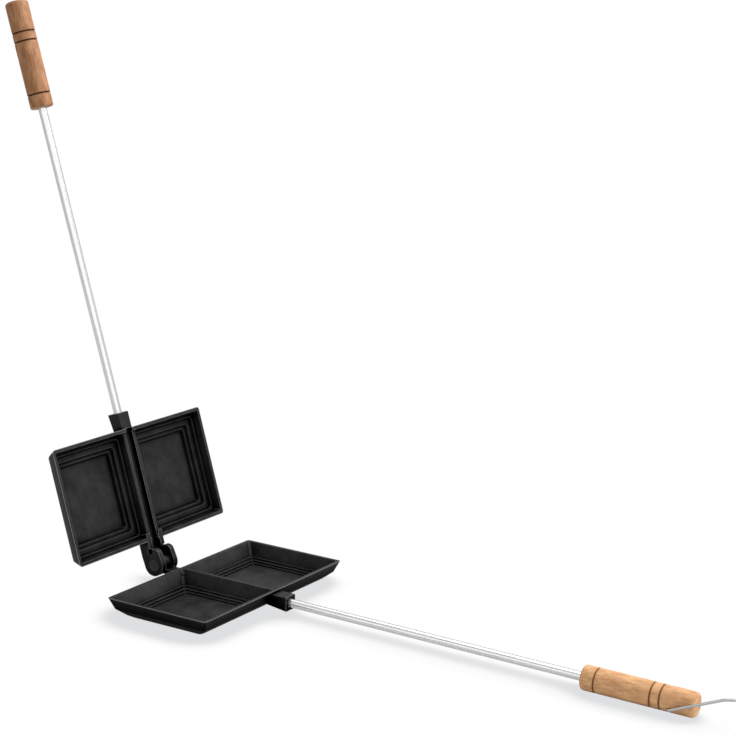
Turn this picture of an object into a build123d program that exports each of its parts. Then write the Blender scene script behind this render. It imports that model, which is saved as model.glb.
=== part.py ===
"""Double pie iron: two hinged cast-iron pan halves on long rods with turned wooden grips.

Frame: +X runs along the lower handle, +Y along the hinge pin, +Z up. The origin is the
middle of the lower pan's flat underside. The iron is shown open, with the upper half
leaning back on its stop. Millimetres and degrees.

Each half is drawn in its own plane, whose origin is the hinge axis on the parting plane:
local x runs from the hinge towards the grip and local z runs out through the pan's back.
"""

import os
from math import asin, atan2, cos, degrees, hypot, radians, sin

from build123d import *

os.makedirs("parts", exist_ok=True)

# ---------------------------------------------------------------- driving sizes
# Pan halves, seen from the parting plane
pan_length = 108.0  # along the handle
pan_width = 221.0  # along the hinge
rim_width = 3.2  # flat rim round each half
rim_gap = 0.3  # daylight between the closed rims
corner_radius = 3.0
cell_corner = 2.2  # rounding in the corners of the cells
floor_thickness = 3.0

# Outer side of each half: a steep wall, a slope and a low heel round the flat back
steep_depth = 10.5
steep_run = 4.3
slope_run = 7.4
heel_rise = 2.5
heel_run = 4.3

# Stepped cell walls, from the rim inwards: (rise, lean of the riser, tread)
lower_steps = [(11.5, 7.6, 2.2), (1.6, 0.6, 3.2), (1.6, 0.6, 2.2), (1.3, 0.5, 0.0)]
upper_steps = [(6.6, 2.2, 2.2), (2.8, 1.1, 4.8), (2.6, 1.1, 2.7), (3.0, 1.4, 0.0)]
ridge_width = 4.0  # thin ridge between the two lower cells
channel_width = 16.0  # flat between the two upper cells
channel_drop = 1.3  # how far that flat lies under the rim
groove_width = 10.0
groove_depth = 3.4

# Hinge
hinge_reach = 23.0  # pin axis to rim
open_deg = 108.0  # opening at which the upper half rests on its stop
ear_radius = 10.4
ear_thickness = 5.5
ear_back = 11.2  # depth of the ear where it joins the pan
lobe_radius = 6.0  # the ear swells forward of the parting plane
lobe_reach = 9.5
lobe_height = 3.2
recess_radius = 3.0  # cast recess in the outside of each ear
recess_reach = 13.2
recess_depth = 2.6
tongue_width = 12.0
knuckle_radius = 8.0
arm_drop = 3.2  # how far the tongue's arm lies under the parting plane
side_clearance = 0.3  # between tongue and ear, each side
pin_radius = 3.0
pin_fit = 0.03  # radial, in the ears
pin_running_fit = 0.08  # radial, in the tongue
head_radius = 4.4
head_height = 1.3
head_clearance = 0.35  # round the pin's head in its counterbore
web_reach = 11.0  # the stop web between the ears starts here
web_thickness = 3.2
stop_length = 15.0  # reach of the tongue's stop nose
stop_clearance = 0.1

# Sockets and rods
socket_length = 15.5  # beyond the rim
socket_width = 15.0
socket_top = 2.2  # parting plane to the socket's front
socket_height = 13.6  # at the mouth
socket_flare = 2.0  # the back of the socket thickens by this much from rim to mouth
socket_depth = 9.0  # rod axis under the parting plane, at the socket's mouth
socket_fillet = 1.2
rod_radius = 3.97
rod_seat = 16.0  # how far the rod enters the socket
rod_fit = 0.04
rod_free_length = 294.5  # socket mouth to grip
rod_tang = 62.0  # how far the rod enters the grip
rod_chamfer = 0.6
splay_deg = 0.5  # each rod leans out from the parting plane

# Grips
grip_length = 101.5
grip_radius = 10.9
grip_inner_round = 1.6
grip_outer_round = 3.4
round_steps = 2  # each round edge is turned as so many short tapers
groove_places = [12.8, 63.2, 71.8]  # turned grooves, from the grip's inner end
turned_groove_half = 0.8
turned_groove_depth = 0.9

# Latch: a steel wire hook in a cross hole of the lower grip, one leg beside the grips
wire_radius = 1.2
hook_place = 81.0  # from the grip's inner end
hook_drop = 5.6  # hole under the grip's axis
hook_clearance = 0.5  # between the wire and the grips
hook_fit = 0.05
hook_leg = 51.5
hook_tip = 12.6
hook_tip_droop_deg = 11.0
hook_head_radius = 2.2  # upset end that keeps the wire in its hole
hook_head_height = 1.2
hook_rest_deg = 23.6  # leg above the horizontal
tip_bend = 10.0
corner_bend = 4.0

# ---------------------------------------------------------------- derived sizes
lower_depth = rim_gap / 2 + sum(step[0] for step in lower_steps) + floor_thickness
upper_depth = rim_gap / 2 + sum(step[0] for step in upper_steps) + floor_thickness
pan_middle = hinge_reach + pan_length / 2
pan_end = hinge_reach + pan_length
cell_length = pan_length - 2 * rim_width
hinge_centre = Vector(-pan_middle, 0, lower_depth)
ear_inner = tongue_width / 2 + side_clearance
ear_outer = ear_inner + ear_thickness
web_top = rim_gap / 2 + channel_drop + groove_depth + web_thickness
hook_side = grip_radius + hook_clearance + wire_radius
hook_bend = hook_clearance + wire_radius


def half_plane(opening):
    """Plane of the upper half, opened by so many degrees."""
    turn = radians(opening)
    return Plane(origin=hinge_centre, x_dir=(cos(turn), 0, sin(turn)), z_dir=(-sin(turn), 0, cos(turn)))


lower_half = Plane(origin=hinge_centre, x_dir=(1, 0, 0), z_dir=(0, 0, -1))
upper_half = half_plane(open_deg)


def side_plane(half, shift=0.0):
    """Plane of a half's side view: x towards the grip, y out through the pan's back."""
    return Plane(origin=half.origin, x_dir=half.x_dir, z_dir=-half.y_dir).offset(shift)


def rod_plane(half):
    """Plane square to a rod at its socket's mouth; z runs along the rod to the grip."""
    lean = radians(splay_deg)
    mouth = half.from_local_coords(Vector(pan_end + socket_length, 0, socket_depth))
    along = half.x_dir * cos(lean) + half.z_dir * sin(lean)
    return Plane(origin=mouth, x_dir=half.y_dir, z_dir=along)


def turning_plane(half):
    """Plane through a rod's axis: x runs along the rod, y is the radius."""
    rod = rod_plane(half)
    return Plane(origin=rod.origin, x_dir=rod.z_dir, z_dir=rod.x_dir)


# ---------------------------------------------------------------- cast pan halves
def shell(half, depth):
    """Solid outer form of a half: rounded rectangles that shrink towards the back."""
    stations = [
        (rim_gap / 2, 0.0),
        (steep_depth, steep_run),
        (depth - heel_rise, steep_run + slope_run),
        (depth, steep_run + slope_run + heel_run),
    ]
    outlines = []
    for level, inset in stations:
        with BuildSketch(half.offset(level)) as outline:
            with Locations((pan_middle, 0)):
                RectangleRounded(pan_length - 2 * inset, pan_width - 2 * inset, corner_radius)
        outlines.append(outline.sketch)
    loft(outlines, ruled=True)


def socket_block(half):
    """Square socket in the middle of the handle-side wall; its back thickens towards the mouth."""
    root = pan_end - steep_run - slope_run
    mouth = pan_end + socket_length
    back = socket_top + socket_height
    slant = socket_flare / socket_length
    with BuildSketch(side_plane(half)) as profile:
        Polygon(
            (root, socket_top),
            (mouth, socket_top),
            (mouth, back),
            (root, back - slant * (mouth - root)),
            align=None,
        )
    block = extrude(profile.sketch, amount=socket_width / 2, both=True, mode=Mode.PRIVATE)
    across = block.edges().filter_by(Axis(half.origin, half.y_dir))
    upright = block.edges().filter_by(Axis(half.origin, half.z_dir))
    lengthwise = block.edges() - across - upright
    add(block.fillet(socket_fillet, lengthwise))


def socket_bore(half):
    """Blind bore that takes the rod's end."""
    with BuildSketch(rod_plane(half).offset(rod_chamfer)) as profile:
        Circle(rod_radius + rod_fit)
    extrude(profile.sketch, amount=-rod_seat - 2 * rod_chamfer, mode=Mode.SUBTRACT)


def cell_outline(half, level, inset, divider, side):
    """Rounded outline of one cell at a depth, drawn in by so much all round."""
    cell_width = (pan_width - 2 * rim_width - divider) / 2
    with BuildSketch(half.offset(level)) as outline:
        with Locations((pan_middle, side * (divider + cell_width) / 2)):
            RectangleRounded(cell_length - 2 * inset, cell_width - 2 * inset, cell_corner)
    return outline.sketch


def cells(half, divider, steps):
    """Two stepped pockets side by side."""
    for side in (-1, 1):
        level = rim_gap / 2
        inset = 0.0
        for rise, lean, tread in steps:
            mouth = cell_outline(half, level, inset, divider, side)
            floor = cell_outline(half, level + rise, inset + lean, divider, side)
            loft([mouth, floor], ruled=True, mode=Mode.SUBTRACT)
            level += rise
            inset += lean + tread


def channel(half):
    """Sunk flat and groove between the upper cells; the groove runs out through both rims."""
    with BuildSketch(half.offset(rim_gap / 2)) as profile:
        with Locations((pan_middle, 0)):
            Rectangle(cell_length, channel_width + 2 * cell_corner)
    extrude(profile.sketch, amount=channel_drop, mode=Mode.SUBTRACT)
    with BuildSketch(half.offset(rim_gap / 2)) as profile:
        with Locations((pan_middle, 0)):
            Rectangle(pan_length, groove_width)
    extrude(profile.sketch, amount=channel_drop + groove_depth, mode=Mode.SUBTRACT)


def ears(half):
    """Two round ears with a recess in their outer faces and a web between them."""
    wall = steep_run + rim_width
    for side in (-1, 1):
        middle = side * (ear_inner + ear_thickness / 2)
        with BuildSketch(side_plane(half, middle)) as profile:
            Circle(ear_radius)
            with Locations((lobe_reach, -lobe_height)):
                Circle(lobe_radius)
            with Locations((lobe_reach, ear_back - lobe_radius)):
                Circle(lobe_radius)
            make_hull()
            with Locations((lobe_reach, rim_gap / 2)):
                Rectangle(hinge_reach + wall - lobe_reach, ear_back - rim_gap / 2, align=(Align.MIN, Align.MIN))
        extrude(profile.sketch, amount=ear_thickness / 2, both=True)
    with BuildSketch(side_plane(half)) as profile:
        with Locations((web_reach, web_top)):
            Rectangle(hinge_reach + wall - web_reach, web_thickness, align=(Align.MIN, Align.MAX))
    extrude(profile.sketch, amount=ear_inner + ear_thickness / 2, both=True)


def ear_details(half):
    """Pin hole, counterbores for the pin's heads and the cast recesses."""
    with BuildSketch(side_plane(half)) as profile:
        Circle(pin_radius + pin_fit)
    extrude(profile.sketch, amount=ear_outer, both=True, mode=Mode.SUBTRACT)
    for side in (-1, 1):
        with BuildSketch(side_plane(half, side * ear_outer)) as profile:
            Circle(head_radius + head_clearance)
        extrude(profile.sketch, amount=-side * head_height, mode=Mode.SUBTRACT)
        with BuildSketch(side_plane(half, side * ear_outer)) as profile:
            with Locations((recess_reach, 0)):
                Circle(recess_radius)
        extrude(profile.sketch, amount=-side * recess_depth, mode=Mode.SUBTRACT)


def tongue(half):
    """Knuckle between the ears, its arm to the pan, and the nose that stops the opening."""
    wall = steep_run + rim_width
    with BuildSketch(side_plane(half)) as profile:
        Circle(knuckle_radius)
        with Locations((0, arm_drop)):
            Rectangle(hinge_reach + wall, knuckle_radius - arm_drop, align=(Align.MIN, Align.MIN))
    extrude(profile.sketch, amount=tongue_width / 2, both=True)
    face = web_top + stop_clearance
    root = web_reach - side_clearance
    with BuildSketch(side_plane(upper_half)) as profile:
        Polygon(
            (0, 0),
            (root, face / 2),
            (root, face),
            (stop_length, face),
            (stop_length, ear_radius),
            (0, ear_radius),
            align=None,
        )
    extrude(profile.sketch, amount=tongue_width / 2, both=True)
    with BuildSketch(side_plane(half)) as profile:
        Circle(pin_radius + pin_running_fit)
    extrude(profile.sketch, amount=tongue_width, both=True, mode=Mode.SUBTRACT)


with BuildPart() as lower_pan:
    shell(lower_half, lower_depth)
    socket_block(lower_half)
    cells(lower_half, ridge_width, lower_steps)
    socket_bore(lower_half)
    tongue(lower_half)

with BuildPart() as upper_pan:
    shell(upper_half, upper_depth)
    socket_block(upper_half)
    cells(upper_half, channel_width, upper_steps)
    channel(upper_half)
    socket_bore(upper_half)
    ears(upper_half)
    ear_details(upper_half)


# ---------------------------------------------------------------- hinge pin
with BuildPart() as hinge_pin:
    with BuildSketch(side_plane(upper_half)) as profile:
        Circle(pin_radius)
    extrude(profile.sketch, amount=ear_outer - head_height, both=True)
    for side in (-1, 1):
        with BuildSketch(side_plane(upper_half, side * (ear_outer - head_height))) as profile:
            Circle(head_radius)
        extrude(profile.sketch, amount=side * head_height)


# ---------------------------------------------------------------- rods
def rod_form(half):
    """Plain round rod from its seat in the socket to its tang in the grip."""
    with BuildSketch(rod_plane(half).offset(-rod_seat)) as profile:
        Circle(rod_radius)
    extrude(profile.sketch, amount=rod_seat + rod_free_length + rod_tang)


with BuildPart() as lower_rod:
    rod_form(lower_half)
    chamfer(lower_rod.edges().filter_by(GeomType.CIRCLE), rod_chamfer)

with BuildPart() as upper_rod:
    rod_form(upper_half)
    chamfer(upper_rod.edges().filter_by(GeomType.CIRCLE), rod_chamfer)


# ---------------------------------------------------------------- turned grips
def rounded_edge(middle_x, middle_y, radius, first_deg):
    """Points of a quarter turn, from the first angle downwards."""
    angles = [radians(first_deg - 90 * step / round_steps) for step in range(round_steps + 1)]
    return [(middle_x + radius * cos(angle), middle_y + radius * sin(angle)) for angle in angles]


def grip_form(half):
    """Turning with rounded ends, three grooves and a blind bore for the rod."""
    start = rod_free_length
    end = start + grip_length
    axis = Axis(rod_plane(half).origin, rod_plane(half).z_dir)
    inner = rounded_edge(start + grip_inner_round, grip_radius - grip_inner_round, grip_inner_round, 180)
    outer = rounded_edge(end - grip_outer_round, grip_radius - grip_outer_round, grip_outer_round, 90)
    with BuildSketch(turning_plane(half)) as profile:
        Polygon((start, 0), *inner, *outer, (end, 0), align=None)
        for place in groove_places:
            at = start + place
            crest = grip_radius + turned_groove_depth
            floor = grip_radius - turned_groove_depth
            reach = 2 * turned_groove_half
            Polygon((at - reach, crest), (at, floor), (at + reach, crest), align=None, mode=Mode.SUBTRACT)
    revolve(profile.sketch, axis=axis)
    with BuildSketch(rod_plane(half).offset(start - rod_chamfer)) as profile:
        Circle(rod_radius + rod_fit)
    extrude(profile.sketch, amount=rod_tang + 2 * rod_chamfer, mode=Mode.SUBTRACT)


with BuildPart() as lower_grip:
    grip_form(lower_half)
    pivot = rod_plane(lower_half).from_local_coords(Vector(0, hook_drop, rod_free_length + hook_place))
    with BuildSketch(Plane(origin=pivot, x_dir=(1, 0, 0), z_dir=(0, 1, 0))) as profile:
        Circle(wire_radius + hook_fit)
    extrude(profile.sketch, amount=grip_radius, both=True, mode=Mode.SUBTRACT)

with BuildPart() as upper_grip:
    grip_form(upper_half)


# ---------------------------------------------------------------- wire latch
def along(start, length, angle):
    """Point at a distance and an angle above the horizontal, in the XZ plane."""
    return start + Vector(length * cos(radians(angle)), 0, length * sin(radians(angle)))


with BuildPart() as latch_bail:
    side = Vector(0, hook_side, 0)
    knee = along(pivot, hook_leg, hook_rest_deg)
    tip = along(knee, hook_tip, hook_rest_deg - hook_tip_droop_deg)
    with BuildLine() as wire_path:
        FilletPolyline(
            pivot + side,
            pivot - side,
            knee - side,
            tip - side,
            tip + side,
            radius=[hook_bend, tip_bend, corner_bend],
        )
    with BuildSketch(Plane(origin=pivot + side, z_dir=-side)) as profile:
        Circle(wire_radius)
    sweep(profile.sketch, path=wire_path.wires()[0])
    with BuildSketch(Plane(origin=pivot + side, z_dir=side)) as profile:
        Circle(hook_head_radius)
    extrude(profile.sketch, amount=hook_head_height)


# ---------------------------------------------------------------- ends of the latch's swing
# Locked, the crossbar lies on top of the upper grip of the closed iron.
bar_reach = hypot(tip.X - pivot.X, tip.Z - pivot.Z)
bar_rest_deg = degrees(atan2(tip.Z - pivot.Z, tip.X - pivot.X))
axis_depth = hinge_centre.Z - pivot.Z - hook_drop
bar_height = 2 * axis_depth + hook_drop + grip_radius + wire_radius + hook_clearance
locked_deg = 180 - degrees(asin(bar_height / bar_reach)) - bar_rest_deg
# Laid down, the crossbar comes level with the grip's underside.
bar_drop = grip_radius - hook_drop - wire_radius - hook_clearance
laid_deg = -degrees(asin(bar_drop / bar_reach)) - bar_rest_deg

print("half depths", round(lower_depth, 3), round(upper_depth, 3))
print("hinge axis", hinge_centre, "latch pivot", pivot)
print("latch range", round(laid_deg, 2), round(locked_deg, 2))

pieces = {
    "lower_pan": lower_pan,
    "upper_pan": upper_pan,
    "hinge_pin": hinge_pin,
    "lower_rod": lower_rod,
    "upper_rod": upper_rod,
    "lower_grip": lower_grip,
    "upper_grip": upper_grip,
    "latch_bail": latch_bail,
}
for name, piece in pieces.items():
    piece.part.label = name
    export_step(piece.part, f"parts/{name}.step")
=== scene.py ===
"""Dresses the double pie iron: seasoned cast iron, plated rods, turned wooden grips, wire latch.

Every object is in metres, in the part's own frame: +X along the lower handle, +Y along the
hinge pin, +Z up, with the origin in the middle of the lower pan's flat underside.
"""

import logging
from dataclasses import dataclass
from enum import Enum, IntEnum
from math import atan2, cos, degrees, pi, radians, sin, tan
from typing import Sequence

import bmesh
import bpy
from mathutils import Matrix, Vector


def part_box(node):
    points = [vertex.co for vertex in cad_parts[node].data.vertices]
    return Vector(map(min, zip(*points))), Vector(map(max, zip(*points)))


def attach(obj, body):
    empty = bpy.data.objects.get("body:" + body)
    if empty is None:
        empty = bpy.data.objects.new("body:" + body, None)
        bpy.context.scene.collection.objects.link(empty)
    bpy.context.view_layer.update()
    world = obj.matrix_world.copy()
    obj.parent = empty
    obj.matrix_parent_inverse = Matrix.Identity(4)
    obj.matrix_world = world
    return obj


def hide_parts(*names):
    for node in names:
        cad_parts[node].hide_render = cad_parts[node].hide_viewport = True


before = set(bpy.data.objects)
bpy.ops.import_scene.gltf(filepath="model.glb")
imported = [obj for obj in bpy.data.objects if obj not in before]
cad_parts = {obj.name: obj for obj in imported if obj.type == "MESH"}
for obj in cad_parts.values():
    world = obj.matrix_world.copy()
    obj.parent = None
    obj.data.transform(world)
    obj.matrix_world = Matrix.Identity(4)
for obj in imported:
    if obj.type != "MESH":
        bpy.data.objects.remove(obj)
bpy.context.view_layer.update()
MM = 0.001
PICTURE_WIDTH = 736
OCCLUSION_SAMPLES = 8

logging.basicConfig(level=logging.INFO, format="%(name)s: %(message)s")
log = logging.getLogger("scene")


class Body(str, Enum):
    """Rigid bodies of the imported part."""

    LOWER = "lower_half"
    UPPER = "upper_half"
    LATCH = "latch"


# ---------------------------------------------------------------- material building
class Graph:
    """Lays out the nodes of one tree."""

    def __init__(self, tree: bpy.types.NodeTree) -> None:
        """Empties the tree.

        Args:
            tree: node tree of a material or of the world.
        """
        self.tree = tree
        self.tree.nodes.clear()

    def add(self, kind: str, **values: object) -> bpy.types.Node:
        """Adds a node and sets its input sockets and properties by name.

        Args:
            kind: Blender's node type.
            values: input sockets (with _ for a space) or node properties.

        Returns:
            The new node.
        """
        node = self.tree.nodes.new(kind)
        for key, value in values.items():
            socket = key.replace("_", " ")
            if socket in node.inputs:
                node.inputs[socket].default_value = value
            else:
                setattr(node, key, value)
        return node

    def link(self, source: bpy.types.Node, out: str | int, target: bpy.types.Node, into: str | int) -> None:
        """Joins an output socket to an input socket."""
        self.tree.links.new(source.outputs[out], target.inputs[into])

    def coordinates(self, turn: Matrix | None = None, scale: Sequence[float] = (1, 1, 1)) -> bpy.types.Node:
        """Object coordinates, turned and then scaled.

        Args:
            turn: rotation that brings the wanted direction onto local X, or None.
            scale: factor along each local axis.

        Returns:
            A mapping node whose Vector output holds the coordinates.
        """
        where = self.add("ShaderNodeTexCoord")
        mapping = self.add("ShaderNodeMapping", vector_type="POINT")
        if turn is not None:
            mapping.inputs["Rotation"].default_value = turn.to_euler()
        self.link(where, "Object", mapping, "Vector")
        stretch = self.add("ShaderNodeMapping", vector_type="POINT")
        stretch.inputs["Scale"].default_value = scale
        self.link(mapping, "Vector", stretch, "Vector")
        return stretch

    def noise(self, where: bpy.types.Node, scale: float, detail: float = 4.0, rough: float = 0.55) -> bpy.types.Node:
        """A noise texture.

        Args:
            where: mapping node that gives the coordinates.
            scale: noise scale.
            detail: octaves.
            rough: weight of the finer octaves.

        Returns:
            The texture, whose Fac output holds the value.
        """
        texture = self.add("ShaderNodeTexNoise", Scale=scale, Detail=detail, Roughness=rough)
        self.link(where, "Vector", texture, "Vector")
        return texture

    def grain(self, turn: Matrix, stretch: float, scale: float, detail: float, seed: float) -> bpy.types.Node:
        """Noise drawn out along the turned X axis.

        Args:
            turn: rotation that brings the grain onto X.
            stretch: factor along the grain; smaller is longer.
            scale: noise scale across the grain.
            detail: octaves.
            seed: place in the fourth dimension.

        Returns:
            The texture, whose Fac output holds the value.
        """
        texture = self.add("ShaderNodeTexNoise", noise_dimensions="4D", Scale=scale, Detail=detail, W=seed)
        self.link(self.coordinates(turn, (stretch, 1.0, 1.0)), "Vector", texture, "Vector")
        return texture

    def occlusion(self, reach: float, inside: bool = False) -> bpy.types.Node:
        """How open a place is, on the AO output; with inside, how blunt the solid under it is."""
        return self.add("ShaderNodeAmbientOcclusion", Distance=reach, samples=OCCLUSION_SAMPLES, inside=inside)

    def average(
        self, first: bpy.types.Node, out: str | int, second: bpy.types.Node, second_out: str | int, share: float
    ) -> bpy.types.Node:
        """Mixes two values.

        Args:
            first: node that gives the first value.
            out: its output socket.
            second: node that gives the second value.
            second_out: its output socket.
            share: part of the second value in the result.

        Returns:
            The mix node, whose output 0 holds the result.
        """
        mix = self.add("ShaderNodeMix", data_type="FLOAT")
        mix.inputs["Factor"].default_value = share
        self.link(first, out, mix, 2)
        self.link(second, second_out, mix, 3)
        return mix

    def ramp(
        self, source: bpy.types.Node, out: str | int, stops: Sequence[tuple[float, Sequence[float]]]
    ) -> bpy.types.Node:
        """A colour ramp over a value.

        Args:
            source: node that gives the value.
            out: its output socket.
            stops: pairs of position and linear colour.

        Returns:
            The ramp node, whose Color output holds the result.
        """
        ramp = self.add("ShaderNodeValToRGB")
        elements = ramp.color_ramp.elements
        for _ in range(len(stops) - len(elements)):
            elements.new(0.5)
        for element, (place, colour) in zip(elements, stops):
            element.position = place
            element.color = (*colour, 1.0)
        self.link(source, out, ramp, "Fac")
        return ramp

    def spread(self, source: bpy.types.Node, out: str, low: float, high: float) -> bpy.types.Node:
        """Spreads a value from 0 to 1 over a range.

        Args:
            source: node that gives the value.
            out: its output socket.
            low: result at 0.
            high: result at 1.

        Returns:
            The node whose Result output holds the result.
        """
        spread = self.add("ShaderNodeMapRange", To_Min=low, To_Max=high)
        self.link(source, out, spread, "Value")
        return spread

    def climb(
        self, source: bpy.types.Node, out: str | int, span: tuple[float, float], bottom: float = 0.0, top: float = 1.0
    ) -> bpy.types.Node:
        """Straight climb of a value over a span, level beyond it.

        Args:
            source: node that gives the value.
            out: its output socket.
            span: the value at the bottom and at the top; the second may be the smaller one.
            bottom: result at the start of the span.
            top: result at its end.

        Returns:
            The node whose Result output holds the result.
        """
        climb = self.add("ShaderNodeMapRange", From_Min=span[0], From_Max=span[1], To_Min=bottom, To_Max=top)
        self.link(source, out, climb, "Value")
        return climb

    def window(self, source: bpy.types.Node, out: str | int, span: tuple[float, float]) -> bpy.types.Node:
        """Smooth step of a value from 0 to 1.

        Args:
            source: node that gives the value.
            out: its output socket.
            span: the value at 0 and at 1; the second may be the smaller one.

        Returns:
            The node whose Result output holds the step.
        """
        step = self.add("ShaderNodeMapRange", From_Min=span[0], From_Max=span[1], interpolation_type="SMOOTHSTEP")
        self.link(source, out, step, "Value")
        return step

    def product(self, *factors: tuple[bpy.types.Node, str | int]) -> bpy.types.Node:
        """Multiplies several values.

        Args:
            factors: nodes and their output sockets.

        Returns:
            The last node, whose output 0 holds the product.
        """
        total, out = factors[0]
        for node, socket in factors[1:]:
            times = self.add("ShaderNodeMath", operation="MULTIPLY")
            self.link(total, out, times, 0)
            self.link(node, socket, times, 1)
            total, out = times, 0
        return total

    def blend(
        self, factor: bpy.types.Node, base: bpy.types.Node, out: str | int, other: Sequence[float]
    ) -> bpy.types.Node:
        """Blends a colour towards another one.

        Args:
            factor: node whose Result output holds the other colour's share.
            base: node that gives the first colour.
            out: its output socket.
            other: second colour.

        Returns:
            The mix node, whose output 2 holds the colour.
        """
        mix = self.add("ShaderNodeMix", data_type="RGBA")
        self.link(factor, "Result", mix, 0)
        self.link(base, out, mix, 6)
        mix.inputs[7].default_value = (*other, 1.0)
        return mix

    def darken(self, factor: bpy.types.Node, base: bpy.types.Node, out: str | int) -> bpy.types.Node:
        """Multiplies a colour by a grey factor.

        Args:
            factor: node whose Result output holds the factor.
            base: node that gives the colour.
            out: its output socket.

        Returns:
            The mix node, whose output 2 holds the colour.
        """
        mix = self.add("ShaderNodeMix", data_type="RGBA", blend_type="MULTIPLY")
        mix.inputs["Factor"].default_value = 1.0
        self.link(base, out, mix, 6)
        self.link(factor, "Result", mix, 7)
        return mix


class SurfaceGraph(Graph):
    """Nodes of one material round a principled shader."""

    def __init__(self, name: str) -> None:
        """Makes the material.

        Args:
            name: name of the material.
        """
        self.material = bpy.data.materials.new(name)
        self.material.use_nodes = True
        super().__init__(self.material.node_tree)
        self.output = self.add("ShaderNodeOutputMaterial")
        self.shader = self.add("ShaderNodeBsdfPrincipled")
        self.link(self.shader, "BSDF", self.output, "Surface")

    def bump(self, heights: Sequence[tuple[bpy.types.Node, str, float, float]]) -> None:
        """Chains bumps onto the shader's normal.

        Args:
            heights: node, output socket, strength and distance in metres of each bump.
        """
        previous = None
        for source, out, strength, distance in heights:
            bump = self.add("ShaderNodeBump", Strength=strength, Distance=distance)
            self.link(source, out, bump, "Height")
            if previous is not None:
                self.link(previous, "Normal", bump, "Normal")
            previous = bump
        if previous is not None:
            self.link(previous, "Normal", self.shader, "Normal")


@dataclass(frozen=True)
class IronFinish:
    """Seasoned cast iron: nearly black, a fine sand grain, lighter edges (painted highlight, partly bare metal) and
    painted shade in corners and hollows.
    """

    low: tuple[float, float, float] = (0.0025, 0.0027, 0.0029)
    high: tuple[float, float, float] = (0.0182, 0.0187, 0.0192)
    # Lighter grey for convex edges: painted edge highlight, partly also bare worn metal.
    edge_highlight_and_wear: tuple[float, float, float] = (0.150, 0.150, 0.150)
    smooth: float = 0.36
    rough: float = 0.52
    sheen: float = 0.30
    grit: float = 0.65
    patch_scale: float = 60.0
    patch_detail: float = 8.0
    patch_span: tuple[float, float] = (0.36, 0.64)
    sand_scale: float = 520.0
    sand_strength: float = 0.60
    sand_height: float = 0.00045
    swell_scale: float = 110.0
    swell_detail: float = 3.0
    swell_strength: float = 0.40
    swell_height: float = 0.00060
    edge_reach: float = 0.0009
    edge_span: tuple[float, float] = (0.85, 0.55)
    edge_share: float = 0.9
    # Painted shade: corners and hollows are darkened by ambient occlusion, in the colour and in the specular level.
    shade_reach: float = 0.0070
    hollow_reach: float = 0.045
    shade_span: tuple[float, float] = (0.46, 0.94)
    shade_depth: float = 0.03

    def build(self, name: str) -> bpy.types.Material:
        """Makes the material.

        Args:
            name: name of the material.

        Returns:
            The material.
        """
        graph = SurfaceGraph(name)
        where = graph.coordinates()
        patches = graph.noise(where, self.patch_scale, self.patch_detail, self.grit)
        sand = graph.noise(where, self.sand_scale, rough=self.grit)
        swell = graph.noise(where, self.swell_scale, self.swell_detail)
        colour = graph.ramp(patches, "Fac", list(zip(self.patch_span, (self.low, self.high))))
        # Painted shade darkens the colour, and also scales the specular level, which paints darker reflections in
        # hollows.
        painted_shade = self.painted_shade(graph)
        shaded_colour = graph.darken(painted_shade, colour, "Color")
        sheen = graph.add("ShaderNodeMath", operation="MULTIPLY")
        sheen.inputs[1].default_value = self.sheen
        graph.link(painted_shade, "Result", sheen, 0)
        graph.link(sheen, 0, graph.shader, "Specular IOR Level")
        # Convex edges are blended to the lighter grey: painted edge highlight, with some bare worn metal.
        highlight_and_wear = graph.climb(graph.occlusion(self.edge_reach, inside=True), "AO", self.edge_span, top=self.edge_share)
        graph.link(graph.blend(highlight_and_wear, shaded_colour, 2, self.edge_highlight_and_wear), 2, graph.shader, "Base Color")
        rough = graph.spread(patches, "Fac", self.smooth, self.rough)
        graph.link(rough, "Result", graph.shader, "Roughness")
        graph.bump(
            [
                (swell, "Fac", self.swell_strength, self.swell_height),
                (sand, "Fac", self.sand_strength, self.sand_height),
            ]
        )
        return graph.material

    def painted_shade(self, graph: Graph) -> bpy.types.Node:
        """Painted shade: darkening of inner corners and deep hollows, where less light reaches.

        Args:
            graph: the material's nodes.

        Returns:
            The node whose Result output holds the factor.
        """
        open_sky = graph.product((graph.occlusion(self.shade_reach), "AO"), (graph.occlusion(self.hollow_reach), "AO"))
        return graph.climb(open_sky, 0, self.shade_span, bottom=self.shade_depth)


@dataclass(frozen=True)
class SteelFinish:
    """Drawn or plated steel with fine marks along its length."""

    low: tuple[float, float, float]
    high: tuple[float, float, float]
    smooth: float
    rough: float
    metallic: float = 1.0
    mark_scale: float = 900.0
    mark_stretch: float = 0.02
    cloud_scale: float = 60.0
    cloud_detail: float = 3.0
    cloud_span: tuple[float, float] = (0.30, 0.70)

    def build(self, name: str, turn: Matrix | None = None) -> bpy.types.Material:
        """Makes the material.

        Args:
            name: name of the material.
            turn: rotation that brings the length of the piece onto X.

        Returns:
            The material.
        """
        graph = SurfaceGraph(name)
        marks = graph.noise(graph.coordinates(turn, (self.mark_stretch, 1.0, 1.0)), self.mark_scale)
        cloud = graph.noise(graph.coordinates(), self.cloud_scale, self.cloud_detail)
        colour = graph.ramp(cloud, "Fac", list(zip(self.cloud_span, (self.low, self.high))))
        graph.link(colour, "Color", graph.shader, "Base Color")
        rough = graph.spread(marks, "Fac", self.smooth, self.rough)
        graph.link(rough, "Result", graph.shader, "Roughness")
        graph.shader.inputs["Metallic"].default_value = self.metallic
        return graph.material


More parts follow.
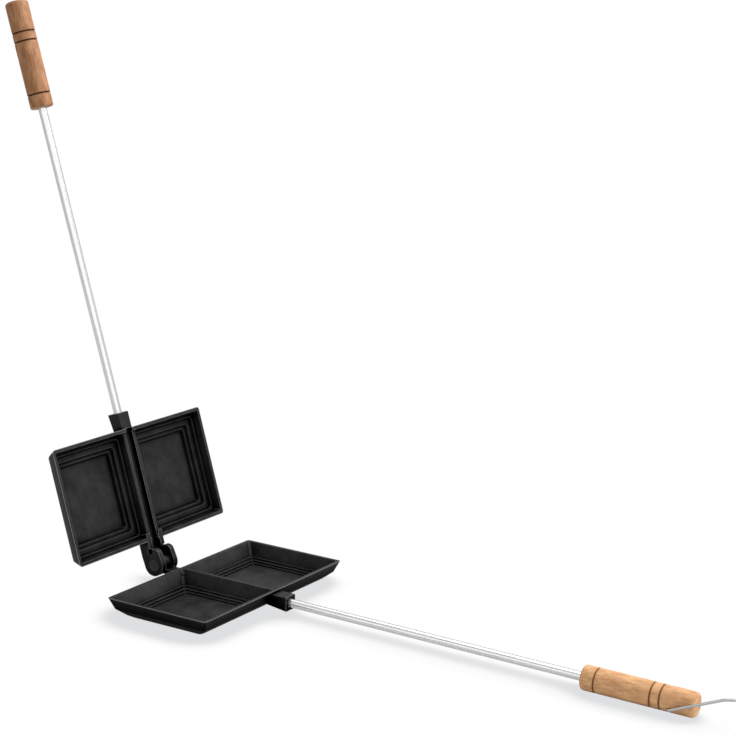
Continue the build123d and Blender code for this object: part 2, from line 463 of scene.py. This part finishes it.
@dataclass(frozen=True)
class WoodFinish:
    """Turned hardwood: long grain, flecks, pores and a slow change of tone and colour."""

    pale: tuple[float, float, float]
    middle: tuple[float, float, float]
    deep: tuple[float, float, float]
    pore: tuple[float, float, float]
    blush: tuple[float, float, float]
    seed: float
    tone_stops: tuple[float, float, float] = (0.40, 0.50, 0.59)
    smooth: float = 0.42
    rough: float = 0.60
    sheen: float = 0.28
    figure_scale: float = 190.0
    figure_stretch: float = 0.42
    figure_detail: float = 4.0
    streak_scale: float = 620.0
    streak_stretch: float = 0.12
    streak_detail: float = 4.0
    streak_share: float = 0.36
    fibre_scale: float = 2200.0
    fibre_stretch: float = 0.05
    fibre_detail: float = 3.0
    fibre_share: float = 0.16
    fibre_strength: float = 0.25
    fibre_height: float = 0.00010
    pore_scale: float = 1500.0
    pore_stretch: float = 0.055
    pore_detail: float = 2.0
    pore_seed: float = 5.0
    pore_span: tuple[float, float] = (0.39, 0.33)
    pore_share: float = 0.80
    pore_strength: float = 0.35
    pore_height: float = 0.00018
    blush_scale: float = 210.0
    blush_stretch: float = 0.45
    blush_detail: float = 3.0
    blush_seed: float = 9.0
    blush_span: tuple[float, float] = (0.48, 0.66)
    blush_share: float = 0.60
    mottle_scale: float = 330.0
    mottle_stretch: float = 0.50
    mottle_detail: float = 5.0
    mottle_seed: float = 17.0
    mottle_span: tuple[float, float] = (0.52, 0.68)
    mottle_share: float = 0.55
    # Convex edges, mostly round the grip's ends, are blended towards the pore colour.
    edge_dark_reach: float = 0.0022
    edge_dark_span: tuple[float, float] = (0.95, 0.60)
    edge_dark_share: float = 0.50

    def tone(self, graph: Graph, turn: Matrix, fibre: bpy.types.Node) -> bpy.types.Node:
        """Colour of the grain, with its blush and its mottles.

        Args:
            graph: the material's nodes.
            turn: rotation that brings the grip's axis onto X.
            fibre: texture of the finest fibres.

        Returns:
            The node whose output 2 holds the colour.
        """
        figure = graph.grain(turn, self.figure_stretch, self.figure_scale, self.figure_detail, self.seed)
        streaks = graph.grain(turn, self.streak_stretch, self.streak_scale, self.streak_detail, self.seed)
        streaked = graph.average(figure, "Fac", streaks, "Fac", self.streak_share)
        mixed = graph.average(streaked, 0, fibre, "Fac", self.fibre_share)
        colour = graph.ramp(mixed, 0, list(zip(self.tone_stops, (self.deep, self.middle, self.pale))))
        clouds = graph.grain(
            turn, self.blush_stretch, self.blush_scale, self.blush_detail, self.seed + self.blush_seed
        )
        warm = graph.climb(clouds, "Fac", self.blush_span, top=self.blush_share)
        warmed = graph.blend(warm, colour, "Color", self.blush)
        spots = graph.grain(
            turn, self.mottle_stretch, self.mottle_scale, self.mottle_detail, self.seed + self.mottle_seed
        )
        mottle = graph.climb(spots, "Fac", self.mottle_span, top=self.mottle_share)
        return graph.blend(mottle, warmed, 2, self.deep)

    def build(self, name: str, turn: Matrix) -> bpy.types.Material:
        """Makes the material.

        Args:
            name: name of the material.
            turn: rotation that brings the grip's axis onto X.

        Returns:
            The material.
        """
        graph = SurfaceGraph(name)
        graph.shader.inputs["Specular IOR Level"].default_value = self.sheen
        fibre = graph.grain(turn, self.fibre_stretch, self.fibre_scale, self.fibre_detail, self.seed)
        tone = self.tone(graph, turn, fibre)
        dashes = graph.grain(turn, self.pore_stretch, self.pore_scale, self.pore_detail, self.seed + self.pore_seed)
        open_pore = graph.climb(dashes, "Fac", self.pore_span, top=self.pore_share)
        pored = graph.blend(open_pore, tone, 2, self.pore)
        # Convex edges are blended towards the pore colour, darker round the grip's ends.
        edge = graph.occlusion(self.edge_dark_reach, inside=True)
        darker_edges = graph.climb(edge, "AO", self.edge_dark_span, top=self.edge_dark_share)
        graph.link(graph.blend(darker_edges, pored, 2, self.pore), 2, graph.shader, "Base Color")
        rough = graph.spread(fibre, "Fac", self.smooth, self.rough)
        graph.link(rough, "Result", graph.shader, "Roughness")
        graph.bump(
            [
                (fibre, "Fac", self.fibre_strength, self.fibre_height),
                (dashes, "Fac", self.pore_strength, self.pore_height),
            ]
        )
        return graph.material


# ---------------------------------------------------------------- pieces of the object
@dataclass(frozen=True)
class HandleAxis:
    """Line of a rod and its grip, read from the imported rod."""

    start: Vector
    along: Vector
    across: Vector

    @classmethod
    def of(cls, rod: str) -> "HandleAxis":
        """Works out the axis from the rod's own mesh.

        Args:
            rod: name of the rod's node.

        Returns:
            The axis, starting at the rod's end in the socket.
        """
        points = [v.co.copy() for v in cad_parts[rod].data.vertices]
        middle = sum(points, Vector()) / len(points)
        far = max(points, key=lambda p: (p - middle).length)
        rough = (far - middle).normalized()
        outward = rough if rough.dot(middle) > 0 else -rough
        low = min(p.dot(outward) for p in points)
        high = max(p.dot(outward) for p in points)
        quarter = (high - low) / 4
        first = [p for p in points if p.dot(outward) < low + quarter]
        last = [p for p in points if p.dot(outward) > high - quarter]
        start = sum(first, Vector()) / len(first)
        end = sum(last, Vector()) / len(last)
        along = (end - start).normalized()
        start = start + along * (min(p.dot(along) for p in points) - start.dot(along))
        return cls(start, along, Vector((0, 1, 0)))

    def matrix(self) -> Matrix:
        """Frame of the handle.

        Returns:
            A matrix with local X along the handle and local Y along the hinge.
        """
        up = self.along.cross(self.across)
        turned = Matrix((self.along, self.across, up)).transposed().to_4x4()
        turned.translation = self.start
        return turned

    def turn(self) -> Matrix:
        """Rotation that brings the handle onto X."""
        return self.matrix().to_3x3().inverted()


def paint(node: str, material: bpy.types.Material) -> bpy.types.Object:
    """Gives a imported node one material.

    Args:
        node: name of the node.
        material: its new material.

    Returns:
        The node's object.
    """
    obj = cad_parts[node]
    obj.data.materials.clear()
    obj.data.materials.append(material)
    return obj


class GripMaterial(IntEnum):
    """Place of each finish in a grip's list of materials."""

    WOOD = 0
    BURNT = 1


@dataclass(frozen=True)
class CrossHole:
    """Round hole right through a grip, along the hinge's direction. Lengths in millimetres."""

    place: float
    drop: float
    radius: float
    segments: int = 32

    def drill(self, place: Matrix, reach: float) -> bpy.types.Object:
        """Makes the drill that cuts the hole.

        Args:
            place: frame of the grip, with X along it.
            reach: length of the drill.

        Returns:
            The drill, linked to the scene.
        """
        mesh = bmesh.new()
        centre = Matrix.Translation(Vector((self.place, 0, -self.drop)) * MM)
        bmesh.ops.create_cone(
            mesh,
            cap_ends=True,
            segments=self.segments,
            radius1=self.radius * MM,
            radius2=self.radius * MM,
            depth=reach * MM,
            matrix=place @ centre @ Matrix.Rotation(pi / 2, 4, "X"),
        )
        for face in mesh.faces:
            face.material_index = GripMaterial.BURNT
        data = bpy.data.meshes.new("drill")
        mesh.to_mesh(data)
        mesh.free()
        obj = bpy.data.objects.new("drill", data)
        bpy.context.scene.collection.objects.link(obj)
        return obj


@dataclass(frozen=True)
class TurnedGrip:
    """Turned wooden grip with three V grooves and a blind bore for the rod. Lengths in millimetres."""

    name: str
    node: str
    slot: str
    hole: CrossHole | None = None
    length: float = 101.5
    radius: float = 10.9
    bore_radius: float = 4.01
    bore_depth: float = 62.6
    inner_round: float = 1.6
    outer_round: float = 3.4
    grooves: tuple[float, ...] = (12.8, 63.2, 71.8)
    groove_half: float = 0.8
    groove_depth: float = 0.9
    round_steps: int = 6
    segments: int = 96
    drill_length: float = 32.7
    merge_distance: float = 0.001
    sharp_angle: float = radians(35)

    def profile(self) -> list[tuple[float, float]]:
        """Half profile from the bore's bottom, round the outside, to the middle of the far end.

        Returns:
            Pairs of place along the grip and radius.
        """
        turns = [pi / 2 * step / self.round_steps for step in range(self.round_steps + 1)]
        points = [(self.bore_depth, 0.0), (self.bore_depth, self.bore_radius), (0.0, self.bore_radius)]
        for turn in turns:
            step_back = self.inner_round * (1 - cos(turn))
            points.append((step_back, self.radius - self.inner_round * (1 - sin(turn))))
        for groove in self.grooves:
            points.append((groove - self.groove_half, self.radius))
            points.append((groove, self.radius - self.groove_depth))
            points.append((groove + self.groove_half, self.radius))
        for turn in turns:
            step_back = self.outer_round * (1 - sin(turn))
            points.append((self.length - step_back, self.radius - self.outer_round * (1 - cos(turn))))
        points.append((self.length, 0.0))
        return points

    def in_groove(self, centre: Vector) -> bool:
        """Tells a groove's flank from the rest of the turning.

        Args:
            centre: middle of a face, before the turning is set in its place.

        Returns:
            True on a flank.
        """
        if Vector((centre.y, centre.z)).length < (self.radius - self.groove_depth) * MM:
            return False
        return any(abs(centre.x / MM - groove) < self.groove_half for groove in self.grooves)

    def turning(self, place: Matrix) -> bpy.types.Mesh:
        """Spins the profile into a closed mesh and sets it in its place.

        Args:
            place: frame of the grip, with X along it.

        Returns:
            The mesh, with the grooves' flanks set to the burnt wood.
        """
        mesh = bmesh.new()
        verts = [mesh.verts.new(Vector((along, 0, radius)) * MM) for along, radius in self.profile()]
        edges = [mesh.edges.new(pair) for pair in zip(verts, verts[1:])]
        bmesh.ops.spin(
            mesh,
            geom=verts + edges,
            cent=(0, 0, 0),
            axis=(1, 0, 0),
            angle=2 * pi,
            steps=self.segments,
            use_merge=True,
        )
        bmesh.ops.remove_doubles(mesh, verts=mesh.verts, dist=self.merge_distance * MM)
        bmesh.ops.recalc_face_normals(mesh, faces=mesh.faces)
        for face in mesh.faces:
            face.smooth = True
            flank = self.in_groove(face.calc_center_median())
            face.material_index = GripMaterial.BURNT if flank else GripMaterial.WOOD
        bmesh.ops.transform(mesh, matrix=place, verts=mesh.verts)
        data = bpy.data.meshes.new(self.name)
        mesh.to_mesh(data)
        mesh.free()
        return data

    def pierce(self, obj: bpy.types.Object, place: Matrix) -> None:
        """Cuts the cross hole, and leaves no modifier and no drill behind.

        Args:
            obj: the grip.
            place: frame of the grip, with X along it.
        """
        drill = self.hole.drill(place, self.drill_length)
        cut = obj.modifiers.new("cross_hole", "BOOLEAN")
        cut.operation = "DIFFERENCE"
        cut.solver = "EXACT"
        cut.material_mode = "INDEX"
        cut.object = drill
        graph = bpy.context.evaluated_depsgraph_get()
        whole = obj.data
        obj.data = bpy.data.meshes.new_from_object(obj.evaluated_get(graph), depsgraph=graph)
        obj.data.name = self.name
        obj.modifiers.clear()
        bpy.data.meshes.remove(whole)
        bpy.data.meshes.remove(drill.data)

    def build(self, place: Matrix, wood: bpy.types.Material, burnt: bpy.types.Material) -> bpy.types.Object:
        """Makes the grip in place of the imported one.

        Args:
            place: frame of the grip, with X along it.
            wood: material of the turning.
            burnt: material inside the grooves and the hole.

        Returns:
            The grip.
        """
        data = self.turning(place)
        data.materials.append(wood)
        data.materials.append(burnt)
        obj = bpy.data.objects.new(self.name, data)
        bpy.context.scene.collection.objects.link(obj)
        if self.hole is not None:
            self.pierce(obj, place)
        obj.data.set_sharp_from_angle(angle=self.sharp_angle)
        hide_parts(self.node)
        return obj


@dataclass(frozen=True)
class Handle:
    """One plated rod and its wooden grip."""

    rod: str
    body: Body
    grip: TurnedGrip
    wood: WoodFinish
    burnt: WoodFinish
    rod_before_grip: float = 310.5
    plating: SteelFinish = SteelFinish(
        low=(0.90, 0.91, 0.91), high=(0.96, 0.96, 0.96), smooth=0.20, rough=0.28, metallic=0.90
    )

    def build(self) -> list[bpy.types.Object]:
        """Plates the rod and turns the grip.

        Returns:
            The rod and the grip.
        """
        axis = HandleAxis.of(self.rod)
        turn = axis.turn()
        place = axis.matrix() @ Matrix.Translation((self.rod_before_grip * MM, 0, 0))
        rod = paint(self.rod, self.plating.build(f"{self.body.value}_plating", turn))
        wood = self.wood.build(f"{self.body.value}_wood", turn)
        burnt = self.burnt.build(f"{self.body.value}_groove", turn)
        grip = self.grip.build(place, wood, burnt)
        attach(grip, self.body.value)
        return [rod, grip]


LOWER_HANDLE = Handle(
    rod="lower_rod",
    body=Body.LOWER,
    grip=TurnedGrip(
        name="lower_grip_turning",
        node="lower_grip",
        slot="lower_wood",
        hole=CrossHole(place=81.0, drop=5.6, radius=1.35),
    ),
    wood=WoodFinish(
        pale=(0.70, 0.415, 0.205),
        middle=(0.60, 0.335, 0.155),
        deep=(0.47, 0.240, 0.100),
        pore=(0.30, 0.125, 0.045),
        blush=(0.66, 0.330, 0.165),
        seed=0.0,
    ),
    burnt=WoodFinish(
        pale=(0.34, 0.145, 0.055),
        middle=(0.27, 0.105, 0.038),
        deep=(0.18, 0.065, 0.023),
        pore=(0.10, 0.035, 0.012),
        blush=(0.30, 0.120, 0.050),
        seed=1.3,
    ),
)
UPPER_HANDLE = Handle(
    rod="upper_rod",
    body=Body.UPPER,
    grip=TurnedGrip(name="upper_grip_turning", node="upper_grip", slot="upper_wood"),
    wood=WoodFinish(
        pale=(0.475, 0.255, 0.124),
        middle=(0.38, 0.187, 0.085),
        deep=(0.27, 0.118, 0.048),
        pore=(0.15, 0.058, 0.022),
        blush=(0.45, 0.200, 0.100),
        seed=3.7,
    ),
    burnt=WoodFinish(
        pale=(0.12, 0.045, 0.017),
        middle=(0.09, 0.032, 0.012),
        deep=(0.05, 0.018, 0.008),
        pore=(0.03, 0.010, 0.005),
        blush=(0.10, 0.038, 0.015),
        seed=2.3,
    ),
)


@dataclass(frozen=True)
class CastPair:
    """The two cast pans, with the softened edges of a sand casting, and the pin that joins them."""

    iron: IronFinish = IronFinish()
    pin: SteelFinish = SteelFinish(
        low=(0.018, 0.018, 0.019), high=(0.040, 0.040, 0.040), smooth=0.40, rough=0.55, metallic=0.6
    )
    edge_width: float = 0.00055
    edge_segments: int = 2
    edge_angle: float = radians(24)
    flat_angle: float = radians(0.5)
    weld_distance: float = 0.000002

    def soften(self, obj: bpy.types.Object) -> None:
        """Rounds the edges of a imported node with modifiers.

        Args:
            obj: the node's object.
        """
        weld = obj.modifiers.new("weld", "WELD")
        weld.merge_threshold = self.weld_distance
        flatten = obj.modifiers.new("flatten", "DECIMATE")
        flatten.decimate_type = "DISSOLVE"
        flatten.angle_limit = self.flat_angle
        bevel = obj.modifiers.new("soften", "BEVEL")
        bevel.width = self.edge_width
        bevel.segments = self.edge_segments
        bevel.limit_method = "ANGLE"
        bevel.angle_limit = self.edge_angle
        bevel.harden_normals = True

    def build(self) -> list[bpy.types.Object]:
        """Dresses the two pans and the pin.

        Returns:
            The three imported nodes.
        """
        iron = self.iron.build("seasoned_iron")
        pans = [paint(node, iron) for node in ("lower_pan", "upper_pan")]
        for pan in pans:
            self.soften(pan)
        return [*pans, paint("hinge_pin", self.pin.build("dark_pin"))]


@dataclass(frozen=True)
class WireLatch:
    """The bent wire that locks the grips together."""

    wire: SteelFinish = SteelFinish(low=(0.54, 0.54, 0.53), high=(0.72, 0.71, 0.70), smooth=0.24, rough=0.38)

    def build(self) -> list[bpy.types.Object]:
        """Plates the wire, and returns it."""
        return [paint("latch_bail", self.wire.build("latch_wire"))]


# ---------------------------------------------------------------- stage, lights and camera
@dataclass(frozen=True)
class Softbox:
    """One square softbox: where it stands, the point it faces, its side in metres and its watts."""

    name: str
    place: tuple[float, float, float]
    aim: tuple[float, float, float]
    size: float
    power: float

    def build(self) -> None:
        """Adds the light."""
        data = bpy.data.lights.new(self.name, "AREA")
        data.shape = "SQUARE"
        data.size = self.size
        data.energy = self.power
        obj = bpy.data.objects.new(self.name, data)
        bpy.context.scene.collection.objects.link(obj)
        obj.location = self.place
        obj.rotation_euler = (Vector(self.aim) - Vector(self.place)).to_track_quat("-Z", "Y").to_euler()


@dataclass(frozen=True)
class Studio:
    """White floor with a short soft painted shadow, and soft light."""

    floor_size: float = 3.0
    floor_tone: float = 0.80
    floor_middle: float = 0.2
    heel_place: float = -0.038
    toe_inset: float = 0.004
    shadow_reach: float = 0.037
    shadow_samples: int = 16
    shadow_lean: tuple[float, float, float] = (0.12, 0.30, 0.946)
    shadow_span: tuple[float, float] = (0.60, 0.95)
    shadow_tint: tuple[float, float, float] = (0.730, 0.735, 0.745)
    bright_side: tuple[float, float, float] = (0.20, 0.62, 0.76)
    light_span: tuple[float, float] = (-0.5, 1.0)
    dark_strength: float = 0.10
    bright_strength: float = 1.05
    mirror_floor: float = 0.60
    mirror_sky: float = 0.48
    mirror_band: float = 0.75
    band_rise: tuple[float, float] = (0.07, 0.13)
    band_fall: tuple[float, float] = (0.60, 0.30)
    band_side: tuple[float, float] = (0.30, -0.20)
    softboxes: tuple[Softbox, ...] = (
        Softbox("key", place=(1.3, 0.9, 1.9), aim=(0.0, 0.0, 0.1), size=1.0, power=42.0),
        Softbox("top", place=(-0.2, 0.4, 2.2), aim=(0.0, 0.0, 0.0), size=1.6, power=22.0),
    )

    def shadow(self, graph: Graph) -> bpy.types.Node:
        """Painted shadow: colour of the floor as it is seen, darker where the object stands close over it, drawn from
        occlusion and not cast by the lamps.

        Args:
            graph: the floor material's nodes.

        Returns:
            The node whose output 2 holds the colour.
        """
        near = graph.add("ShaderNodeAmbientOcclusion", Distance=self.shadow_reach, samples=self.shadow_samples)
        lean_x, lean_y, lean_z = self.shadow_lean
        leaning = graph.add("ShaderNodeCombineXYZ", X=lean_x, Y=lean_y, Z=lean_z)
        graph.link(leaning, 0, near, "Normal")
        tone = graph.add("ShaderNodeMix", data_type="RGBA")
        tone.inputs[6].default_value = (*self.shadow_tint, 1.0)
        tone.inputs[7].default_value = (1.0, 1.0, 1.0, 1.0)
        graph.link(graph.window(near, "AO", self.shadow_span), "Result", tone, 0)
        return tone

    def white(self, name: str) -> bpy.types.Material:
        """A floor that is white to the eye and in mirror images, and matt to all other light.

        Args:
            name: name of the material.

        Returns:
            The material.
        """
        graph = SurfaceGraph(name)
        graph.tree.nodes.remove(graph.shader)
        matt = graph.add("ShaderNodeBsdfDiffuse", Color=(self.floor_tone, self.floor_tone, self.floor_tone, 1))
        path = graph.add("ShaderNodeLightPath")
        strength = graph.spread(path, "Is Camera Ray", self.mirror_floor, 1.0)
        glow = graph.add("ShaderNodeEmission")
        graph.link(self.shadow(graph), 2, glow, "Color")
        graph.link(strength, "Result", glow, "Strength")
        seen = graph.add("ShaderNodeMath", operation="MAXIMUM")
        graph.link(path, "Is Camera Ray", seen, 0)
        graph.link(path, "Is Glossy Ray", seen, 1)
        surface = graph.add("ShaderNodeMixShader")
        graph.link(seen, 0, surface, 0)
        graph.link(matt, 0, surface, 1)
        graph.link(glow, 0, surface, 2)
        graph.link(surface, 0, graph.output, "Surface")
        return graph.material

    def floor(self) -> None:
        """Lays the floor under the pan's heel and the lower grip, which both rest on it."""
        grip_low, grip_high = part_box("lower_grip")
        heel = Vector((self.heel_place, 0, 0))
        toe = Vector((grip_high.x - self.toe_inset, 0, grip_low.z))
        slope = atan2(toe.z - heel.z, toe.x - heel.x)
        rise = (self.floor_middle - heel.x) * tan(slope)
        mesh = bmesh.new()
        place = Matrix.Translation((self.floor_middle, 0, heel.z + rise)) @ Matrix.Rotation(-slope, 4, "Y")
        bmesh.ops.create_grid(mesh, x_segments=1, y_segments=1, size=self.floor_size / 2, matrix=place)
        data = bpy.data.meshes.new("floor")
        mesh.to_mesh(data)
        mesh.free()
        data.materials.append(self.white("floor_white"))
        obj = bpy.data.objects.new("floor", data)
        bpy.context.scene.collection.objects.link(obj)
        log.info("floor tilted by %.2f degrees", degrees(slope))

    def mirror(self, graph: Graph, where: bpy.types.Node) -> bpy.types.Node:
        """Surroundings as mirror images show them: even, with a bright band on the near side.

        Args:
            graph: the world's nodes.
            where: texture coordinates.

        Returns:
            The node whose output 0 holds the strength.
        """
        split = graph.add("ShaderNodeSeparateXYZ")
        graph.link(where, "Generated", split, 0)
        rise = graph.window(split, "Z", self.band_rise)
        fall = graph.window(split, "Z", self.band_fall)
        near = graph.window(split, "Y", self.band_side)
        band = graph.product((rise, "Result"), (fall, "Result"), (near, "Result"))
        mirror = graph.add("ShaderNodeMath", operation="MULTIPLY_ADD")
        mirror.inputs[1].default_value = self.mirror_band
        mirror.inputs[2].default_value = self.mirror_sky
        graph.link(band, 0, mirror, 0)
        return mirror

    def world(self) -> None:
        """Surroundings: white to the eye, and brighter behind and above as light."""
        world = bpy.data.worlds.new("studio")
        bpy.context.scene.world = world
        world.use_nodes = True
        graph = Graph(world.node_tree)
        where = graph.add("ShaderNodeTexCoord")
        facing = graph.add("ShaderNodeVectorMath", operation="DOT_PRODUCT")
        facing.inputs[1].default_value = self.bright_side
        graph.link(where, "Generated", facing, 0)
        light = graph.climb(facing, "Value", self.light_span, self.dark_strength, self.bright_strength)
        path = graph.add("ShaderNodeLightPath")
        reflected = graph.add("ShaderNodeMix")
        graph.link(path, "Is Glossy Ray", reflected, "Factor")
        graph.link(light, "Result", reflected, 2)
        graph.link(self.mirror(graph, where), 0, reflected, 3)
        strength = graph.add("ShaderNodeMix")
        graph.link(path, "Is Camera Ray", strength, "Factor")
        graph.link(reflected, 0, strength, 2)
        strength.inputs[3].default_value = 1.0
        backdrop = graph.add("ShaderNodeBackground", Color=(1, 1, 1, 1))
        graph.link(strength, 0, backdrop, "Strength")
        graph.link(backdrop, 0, graph.add("ShaderNodeOutputWorld"), "Surface")

    def build(self) -> None:
        """Sets up the floor, the surroundings and the lamps."""
        self.floor()
        self.world()
        for softbox in self.softboxes:
            softbox.build()


@dataclass(frozen=True)
class CameraRig:
    """Camera that looks across the hinge, in millimetres and degrees, from the hinge axis."""

    hinge: tuple[float, float, float] = (-77.0, 0.0, 19.15)
    azimuth: float = 31.0
    elevation: float = 12.4
    roll: float = 2.2
    distance: float = 1911.0
    aim_right: float = 187.7
    aim_up: float = 190.8
    focal_pixels: float = 2026.0
    sensor: float = 36.0
    clip_end: float = 50.0

    def build(self) -> None:
        """Adds the camera and makes it the scene's."""
        turn, rise, roll = radians(self.azimuth), radians(self.elevation), radians(self.roll)
        back = Vector((sin(turn) * cos(rise), -cos(turn) * cos(rise), sin(rise)))
        right = Vector((cos(turn), sin(turn), 0))
        up = back.cross(right)
        target = Vector(self.hinge) + right * self.aim_right + up * self.aim_up
        rolled_right = right * cos(roll) + up * sin(roll)
        rolled_up = up * cos(roll) - right * sin(roll)
        place = Matrix((rolled_right, rolled_up, back)).transposed().to_4x4()
        place.translation = (target + back * self.distance) * MM
        data = bpy.data.cameras.new("camera")
        data.sensor_fit = "HORIZONTAL"
        data.sensor_width = self.sensor
        data.lens = self.focal_pixels * self.sensor / PICTURE_WIDTH
        data.clip_end = self.clip_end
        obj = bpy.data.objects.new("camera", data)
        obj.matrix_world = place
        bpy.context.scene.collection.objects.link(obj)
        bpy.context.scene.camera = obj


def main() -> None:
    """Builds the sub-assemblies in order, then the stage."""
    bpy.context.scene.view_settings.view_transform = "Standard"
    for assembly in (CastPair(), LOWER_HANDLE, UPPER_HANDLE, WireLatch()):
        for piece in assembly.build():
            log.info("%s dressed by %s", piece.name, type(assembly).__name__)
    Studio().build()
    CameraRig().build()


if __name__ == "__main__":
    main()
